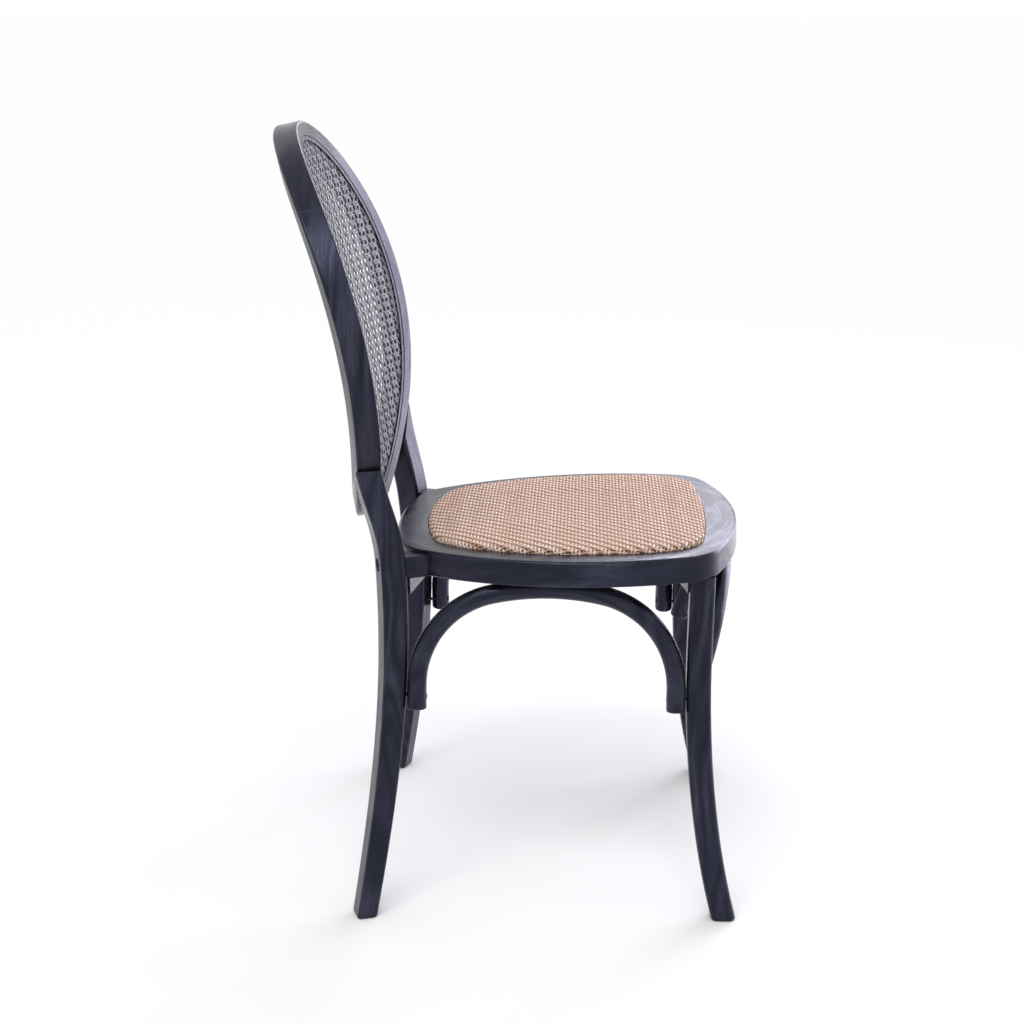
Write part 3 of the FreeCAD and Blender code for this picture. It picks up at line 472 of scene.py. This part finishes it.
def laid_on(tree, given, surface, flat, height):
    # Follows rays from flat places to the surface, and folds what passes its rim down the side.
    x, y, _ = split(tree, flat)
    across = vector_calc(tree, "SCALE", given["Across"], x)
    along = vector_calc(tree, "SCALE", given["Along"], y)
    up = vector_calc(tree, "CROSS_PRODUCT", given["Across"], given["Along"])
    spot = vector_calc(tree, "ADD", vector_calc(tree, "ADD", given["Origin"], across), along)
    above = vector_calc(tree, "ADD", spot, vector_calc(tree, "SCALE", up, RAY_START))
    down = vector_calc(tree, "SCALE", up, -1.0)
    top = place(tree, "GeometryNodeRaycast", {"Target Geometry": surface, "Source Position": above,
                                              "Ray Direction": down, "Ray Length": RAY_REACH}).outputs
    below_rim = vector_calc(tree, "SUBTRACT", spot, vector_calc(tree, "SCALE", up, BELOW_RIM))
    inwards = vector_calc(tree, "SUBTRACT", given["Origin"], spot)
    side = place(tree, "GeometryNodeRaycast", {"Target Geometry": surface, "Source Position": below_rim,
                                               "Ray Direction": inwards, "Ray Length": SIDE_REACH}).outputs
    off_top = vector_calc(tree, "SCALE", top["Hit Normal"], height)
    on_top = vector_calc(tree, "ADD", top["Hit Position"], off_top)
    drop = vector_calc(tree, "SCALE", down, side["Hit Distance"])
    wall = vector_calc(tree, "ADD", side["Hit Position"], drop)
    off_side = vector_calc(tree, "SCALE", side["Hit Normal"], height)
    on_side = vector_calc(tree, "ADD", wall, off_side)
    spread = place(tree, "GeometryNodeSwitch", {"Switch": top["Is Hit"], "False": on_side, "True": on_top},
                   input_type="VECTOR").outputs[0]
    near = place(tree, "FunctionNodeCompare", data_type="FLOAT", operation="LESS_THAN")
    feed(tree, near.inputs["A"], side["Hit Distance"])
    feed(tree, near.inputs["B"], given["Fold"])
    folded = place(tree, "FunctionNodeBooleanMath", operation="AND")
    feed(tree, folded.inputs[0], side["Is Hit"])
    feed(tree, folded.inputs[1], near.outputs[0])
    kept = place(tree, "FunctionNodeBooleanMath", operation="OR")
    feed(tree, kept.inputs[0], top["Is Hit"])
    feed(tree, kept.inputs[1], folded.outputs[0])
    return spread, kept.outputs[0]


def stored(tree, geometry, name, value):
    node = place(tree, "GeometryNodeStoreNamedAttribute", {"Geometry": geometry, "Name": name},
                 data_type="FLOAT", domain="POINT")
    feed(tree, node.inputs["Value"], value)
    return node.outputs[0]


def make_weave_tree():
    tree = bpy.data.node_groups.new("woven strands", "GeometryNodeTree")
    for name, kind in WEAVE_INPUTS:
        tree.interface.new_socket(name, in_out="INPUT", socket_type="NodeSocket" + kind)
    tree.interface.new_socket("Geometry", in_out="OUTPUT", socket_type="NodeSocketGeometry")
    given = tree.nodes.new("NodeGroupInput").outputs
    surface = place(tree, "GeometryNodeObjectInfo", {"Object": given["Surface"]}).outputs["Geometry"]
    index = place(tree, "GeometryNodeInputIndex").outputs[0]
    rows = place(tree, "GeometryNodeMeshLine", {"Count": given["Count"]})
    group = calc(tree, "FLOOR", calc(tree, "DIVIDE", index, given["Pair Size"]))
    within = calc(tree, "SUBTRACT", calc(tree, "MODULO", index, given["Pair Size"]),
                  calc(tree, "DIVIDE", calc(tree, "SUBTRACT", given["Pair Size"], 1.0), 2.0))
    groups = calc(tree, "SUBTRACT", calc(tree, "DIVIDE", given["Count"], given["Pair Size"]), 1.0)
    centred = calc(tree, "SUBTRACT", group, calc(tree, "DIVIDE", groups, 2.0))
    row_y = calc(tree, "ADD", calc(tree, "MULTIPLY", centred, given["Pitch"]),
                 calc(tree, "MULTIPLY", within, given["Pair Gap"]))
    spaced = place(tree, "GeometryNodeSetPosition", {"Geometry": rows.outputs[0],
                                                     "Position": joined(tree, 0.0, row_y, 0.0)})
    half = calc(tree, "DIVIDE", given["Length"], 2.0)
    straight = place(tree, "GeometryNodeCurvePrimitiveLine", {
        "Start": joined(tree, calc(tree, "MULTIPLY", half, -1.0), 0.0, 0.0),
        "End": joined(tree, half, 0.0, 0.0)})
    stepped = place(tree, "GeometryNodeResampleCurve", {"Curve": straight.outputs[0],
                                                        "Count": given["Steps"]})
    copies = place(tree, "GeometryNodeInstanceOnPoints", {"Points": spaced.outputs[0],
                                                          "Instance": stepped.outputs[0]})
    strands = place(tree, "GeometryNodeRealizeInstances", {"Geometry": copies.outputs[0]}).outputs[0]
    position = place(tree, "GeometryNodeInputPosition").outputs[0]
    x, y, _ = split(tree, position)
    quarter = calc(tree, "MULTIPLY", given["Width"], 0.25)
    chance = place(tree, "FunctionNodeRandomValue", data_type="FLOAT")
    feed(tree, chance.inputs["ID"], calc(tree, "ROUND", calc(tree, "DIVIDE", y, quarter)))
    feed(tree, chance.inputs["Seed"], given["Seed"])
    strands = stored(tree, strands, "tone", chance.outputs[1])
    strands = stored(tree, strands, "run", x)
    turned = place(tree, "ShaderNodeVectorRotate", {"Vector": position, "Axis": (0.0, 0.0, 1.0),
                                                    "Angle": given["Turn"]}, rotation_type="AXIS_ANGLE")
    strands = place(tree, "GeometryNodeSetPosition", {"Geometry": strands,
                                                      "Position": turned.outputs[0]}).outputs[0]
    beat = vector_calc(tree, "DOT_PRODUCT", position, given["Rhythm"])
    swing = calc(tree, "SINE", calc(tree, "ADD", calc(tree, "MULTIPLY", beat, 2 * math.pi), given["Phase"]))
    overdone = calc(tree, "MULTIPLY", swing, WAVE_FLATTENING)
    swing = place(tree, "ShaderNodeClamp", {"Value": overdone, "Min": -1.0}).outputs[0]
    strands = stored(tree, strands, "rise", swing)
    lift = calc(tree, "ADD", given["Lift"], calc(tree, "MULTIPLY", swing, given["Wave"]))
    strands = place(tree, "GeometryNodeSetPosition", {"Geometry": strands,
                                                      "Offset": joined(tree, 0.0, 0.0, lift)}).outputs[0]
    widened = vector_calc(tree, "SCALE", position, given["Margin"])
    _, kept = laid_on(tree, given, surface, widened, 0.0)
    spare = place(tree, "FunctionNodeBooleanMath", operation="NOT")
    feed(tree, spare.inputs[0], kept)
    strands = place(tree, "GeometryNodeDeleteGeometry", {"Geometry": strands, "Selection": spare.outputs[0]},
                    domain="POINT").outputs[0]
    strands = place(tree, "GeometryNodeSetCurveNormal", {"Curve": strands}, mode="Z_UP").outputs[0]
    circle = place(tree, "GeometryNodeCurvePrimitiveCircle", {"Resolution": given["Sides"], "Radius": 1.0})
    half_width = calc(tree, "DIVIDE", given["Width"], 2.0)
    half_thickness = calc(tree, "DIVIDE", given["Thickness"], 2.0)
    flattened = joined(tree, half_width, half_thickness, 1.0)
    profile = place(tree, "GeometryNodeTransform", {"Geometry": circle.outputs[0], "Scale": flattened})
    mesh = place(tree, "GeometryNodeCurveToMesh", {"Curve": strands, "Profile Curve": profile.outputs[0],
                                                   "Fill Caps": True}).outputs[0]
    _, _, height = split(tree, position)
    spread, _ = laid_on(tree, given, surface, position, height)
    mesh = place(tree, "GeometryNodeSetPosition", {"Geometry": mesh, "Position": spread}).outputs[0]
    mesh = place(tree, "GeometryNodeRealizeInstances", {"Geometry": mesh}).outputs[0]
    mesh = place(tree, "GeometryNodeSetMaterial", {"Geometry": mesh,
                                                   "Material": given["Material"]}).outputs[0]
    feed(tree, tree.nodes.new("NodeGroupOutput").inputs[0], mesh)
    return tree


def woven(name, tree, values):
    holder = bpy.data.objects.new(name + "_maker", bpy.data.meshes.new(name + "_maker"))
    bpy.context.scene.collection.objects.link(holder)
    modifier = holder.modifiers.new("weave", "NODES")
    modifier.node_group = tree
    for item in tree.interface.items_tree:
        if item.in_out == "INPUT":
            modifier[item.identifier] = values[item.name]
    bpy.context.view_layer.update()
    graph = bpy.context.evaluated_depsgraph_get()
    mesh = bpy.data.meshes.new_from_object(holder.evaluated_get(graph), preserve_all_data_layers=True,
                                           depsgraph=graph)
    bpy.data.objects.remove(holder)
    mesh.name = name
    piece = bpy.data.objects.new(name, mesh)
    bpy.context.scene.collection.objects.link(piece)
    mesh.shade_smooth()
    return piece


def strand_values(surface, origin, across, along, **changes):
    values = {
        "Surface": surface, "Origin": tuple(origin), "Across": tuple(across), "Along": tuple(along),
        "Turn": 0.0, "Count": 2, "Pitch": CANE_PITCH, "Pair Gap": 0.0, "Pair Size": 1.0, "Length": 0.5,
        "Steps": 100, "Width": CANE_WIDTH, "Thickness": CANE_THICKNESS, "Sides": STRAND_SIDES, "Lift": 0.0,
        "Wave": 0.0, "Rhythm": (0.0, 0.0, 0.0), "Phase": 0.0, "Margin": CANE_EDGE_MARGIN, "Fold": 0.0,
        "Seed": WEAVE_SEED, "Material": None}
    values.update(changes)
    return values


def odd_count(length, pitch, per_group):
    # An odd number of groups, so that one lies on the middle line.
    return int(per_group * (2 * math.ceil(length / pitch / 2) + 1))


def make_cane_panel(tree):
    # Six-way cane: pairs of uprights and rows, with single slants both ways midway between their crossings.
    # The grey strand colours are painted sheen on black cane, and the dips go black as painted shade.
    finish = strand_material("black_cane", CANE_PALE_SHEEN, CANE_GREY_SHEEN, CANE_BLACK, 0.30, 0.45)
    sheet = nodes["cane_panel"]
    low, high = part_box("cane_panel")
    middle = (low + high) / 2
    reach = max(high.x - low.x, high.z - low.z)
    steps = int(CANE_STEPS_PER_PITCH * reach / CANE_PITCH) + 1
    rhythm = 1 / (2 * CANE_PITCH)
    common = strand_values(sheet, middle, (1.0, 0.0, 0.0), (0.0, 0.0, 1.0), Length=reach, Steps=steps,
                           Material=finish)
    pairs = odd_count(reach, CANE_PITCH, 2)
    slant_reach = reach * SLANT_OVERRUN
    slant_pitch = CANE_PITCH / math.sqrt(2)
    slants = odd_count(slant_reach, slant_pitch, 1) + 1
    sets = (
        ("cane_uprights", dict(Turn=math.pi / 2, Count=pairs, Lift=CANE_DEPTH - UPRIGHTS_BELOW)),
        ("cane_rows", dict(Count=pairs, Lift=CANE_DEPTH, Wave=CANE_WAVE, Rhythm=(rhythm, 0.0, 0.0))),
        ("cane_slants_rising", dict(Turn=math.pi / 4, Lift=CANE_DEPTH + RISING_ABOVE, Wave=CANE_WAVE)),
        ("cane_slants_falling", dict(Turn=-math.pi / 4, Lift=CANE_DEPTH + FALLING_ABOVE, Wave=-CANE_WAVE)))
    for name, changes in sets:
        values = dict(common)
        if "slants" in name:
            values.update({"Count": slants, "Pitch": slant_pitch, "Width": CANE_SLANT_WIDTH,
                           "Length": slant_reach, "Rhythm": (rhythm, 0.0, 0.0)})
        else:
            values.update({"Pair Size": 2.0, "Pair Gap": CANE_PAIR_GAP})
        values.update(changes)
        piece = woven(name, tree, values)
        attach(piece, BODY)
    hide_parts("cane_panel")


def merged_copy(node_name, name, material):
    piece = bpy.data.objects.new(name, nodes[node_name].data.copy())
    bpy.context.scene.collection.objects.link(piece)
    shape = bmesh.new()
    shape.from_mesh(piece.data)
    bmesh.ops.remove_doubles(shape, verts=shape.verts, dist=1e-6)
    shape.to_mesh(piece.data)
    shape.free()
    piece.data.materials.clear()
    piece.data.materials.append(material)
    return piece


def make_seat_pad(tree):
    # Twilled rattan, two over and two under, folded down round the edge of a crowned filling.
    finish = strand_material("rattan", RATTAN_PALE, RATTAN_HONEY, RATTAN_AMBER, 0.46, 0.5)
    cover = nodes["seat_weave"]
    low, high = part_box("seat_weave")
    rim_up = Vector((0, math.sin(SEAT_TILT), math.cos(SEAT_TILT)))
    middle_y = (low.y + high.y) / 2
    rim_z = SEAT_HEIGHT - math.tan(SEAT_TILT) * (middle_y - depth_shift)
    origin = Vector((0, middle_y, rim_z)) + rim_up * PAD_EDGE_RISE
    along = Vector((0, math.cos(SEAT_TILT), -math.sin(SEAT_TILT)))
    reach_x = high.x - low.x + 4 * RATTAN_FOLD
    reach_y = high.y - low.y + 4 * RATTAN_FOLD
    rhythm = (1 / (4 * CROSS_PITCH), -1 / (4 * LONG_PITCH), 0.0)
    common = strand_values(cover, origin, (1.0, 0.0, 0.0), along, Thickness=RATTAN_THICKNESS,
                           Lift=RATTAN_DEPTH, Rhythm=rhythm, Phase=math.pi / 4, Margin=1.0,
                           Fold=RATTAN_FOLD, Material=finish)
    long_strands = dict(common)
    long_strands.update({"Count": odd_count(reach_y, LONG_PITCH, 1), "Pitch": LONG_PITCH,
                         "Width": LONG_WIDTH, "Length": reach_x,
                         "Steps": int(2 * reach_x / CROSS_PITCH), "Wave": RATTAN_WAVE})
    cross_strands = dict(common)
    cross_strands.update({"Count": odd_count(reach_x, CROSS_PITCH, 1), "Pitch": CROSS_PITCH,
                          "Turn": math.pi / 2, "Width": CROSS_WIDTH, "Length": reach_y,
                          "Steps": int(2 * reach_y / LONG_PITCH), "Wave": -RATTAN_WAVE,
                          "Seed": WEAVE_SEED + 1})
    long_piece = woven("pad_long_strands", tree, long_strands)
    cross_piece = woven("pad_cross_strands", tree, cross_strands)
    # The filling is coloured as painted shade seen through the weave.
    filling = merged_copy("seat_foam", "pad_filling", shade_material())
    for piece, slot in ((long_piece, "rattan"), (cross_piece, "rattan"), (filling, "foam")):
        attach(piece, BODY)
    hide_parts("seat_weave")
    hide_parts("seat_foam")


# Room, light and camera

def make_floor():
    mesh = bpy.data.meshes.new("studio_floor")
    reach = FLOOR_REACH
    mesh.from_pydata([(-reach, -reach, 0), (reach, -reach, 0), (reach, reach, 0), (-reach, reach, 0)], [],
                     [(0, 1, 2, 3)])
    floor = bpy.data.objects.new("studio_floor", mesh)
    bpy.context.scene.collection.objects.link(floor)
    material, tree, shader = new_material("studio_floor_white")
    shader.inputs["Base Color"].default_value = FLOOR_WHITE
    shader.inputs["Roughness"].default_value = FLOOR_ROUGHNESS
    raw = place(tree, "ShaderNodeTexCoord").outputs["Object"]
    away = ranged(tree, vector_calc(tree, "LENGTH", raw), FLOOR_NEAR, FLOOR_FAR)
    eased = calc(tree, "SMOOTH_MIN", away, 1.0, FLOOR_EASE)
    camera_sees = place(tree, "ShaderNodeLightPath").outputs["Is Camera Ray"]
    white = place(tree, "ShaderNodeEmission", {"Color": (1.0, 1.0, 1.0, 1), "Strength": 1.0}).outputs[0]
    blend = place(tree, "ShaderNodeMixShader", {0: calc(tree, "MULTIPLY", eased, camera_sees)})
    feed(tree, blend.inputs[1], shader.outputs[0])
    feed(tree, blend.inputs[2], white)
    feed(tree, tree.nodes["Material Output"].inputs["Surface"], blend.outputs[0])
    mesh.materials.append(material)


def make_world():
    world = bpy.data.worlds.new("studio")
    world.use_nodes = True
    bpy.context.scene.world = world
    tree = world.node_tree
    light_path = place(tree, "ShaderNodeLightPath").outputs
    seen = calc(tree, "ADD", light_path["Is Camera Ray"], light_path["Is Glossy Ray"])
    seen = calc(tree, "ADD", seen, light_path["Is Transmission Ray"], clamp=True)
    background = tree.nodes["Background"]
    background.inputs["Color"].default_value = (1.0, 1.0, 1.0, 1)
    feed(tree, background.inputs["Strength"], ranged(tree, seen, 0.0, 1.0, ROOM_LIGHT, 1.0))


def make_lamp(name, place_at, size, power, colour):
    lamp = bpy.data.lights.new(name, "AREA")
    lamp.shape = "RECTANGLE"
    lamp.size, lamp.size_y = size
    lamp.energy = power
    lamp.color = colour
    stand = bpy.data.objects.new(name, lamp)
    bpy.context.scene.collection.objects.link(stand)
    stand.location = place_at
    stand.rotation_euler = (Vector(LAMP_AIM) - Vector(place_at)).to_track_quat("-Z", "Y").to_euler()
    stand.visible_camera = False


def make_camera():
    camera = bpy.data.objects.new("photo_camera", bpy.data.cameras.new("photo_camera"))
    bpy.context.scene.collection.objects.link(camera)
    seat_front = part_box("seat_ring")[0].y
    camera.location = (CAMERA_X, seat_front + CAMERA_BEHIND_SEAT_FRONT, CAMERA_HEIGHT)
    camera.rotation_euler = (math.pi / 2 - CAMERA_DOWN, 0, CAMERA_TURN - math.pi / 2)
    camera.data.sensor_width = CAMERA_SENSOR
    camera.data.lens = CAMERA_LENS
    camera.data.clip_end = CAMERA_SIGHT
    bpy.context.scene.camera = camera


weave = make_weave_tree()
dress_solids()
make_cane_panel(weave)
make_seat_pad(weave)
make_floor()
make_world()
make_lamp("key_softbox", KEY_PLACE, KEY_SIZE, KEY_POWER, PLAIN_LIGHT)
make_lamp("back_softbox", BACK_PLACE, BACK_SIZE, BACK_POWER, COOL_LIGHT)
make_lamp("front_softbox", FRONT_PLACE, FRONT_SIZE, FRONT_POWER, COOL_LIGHT)
make_camera()
bpy.context.scene.view_settings.view_transform = "Standard"
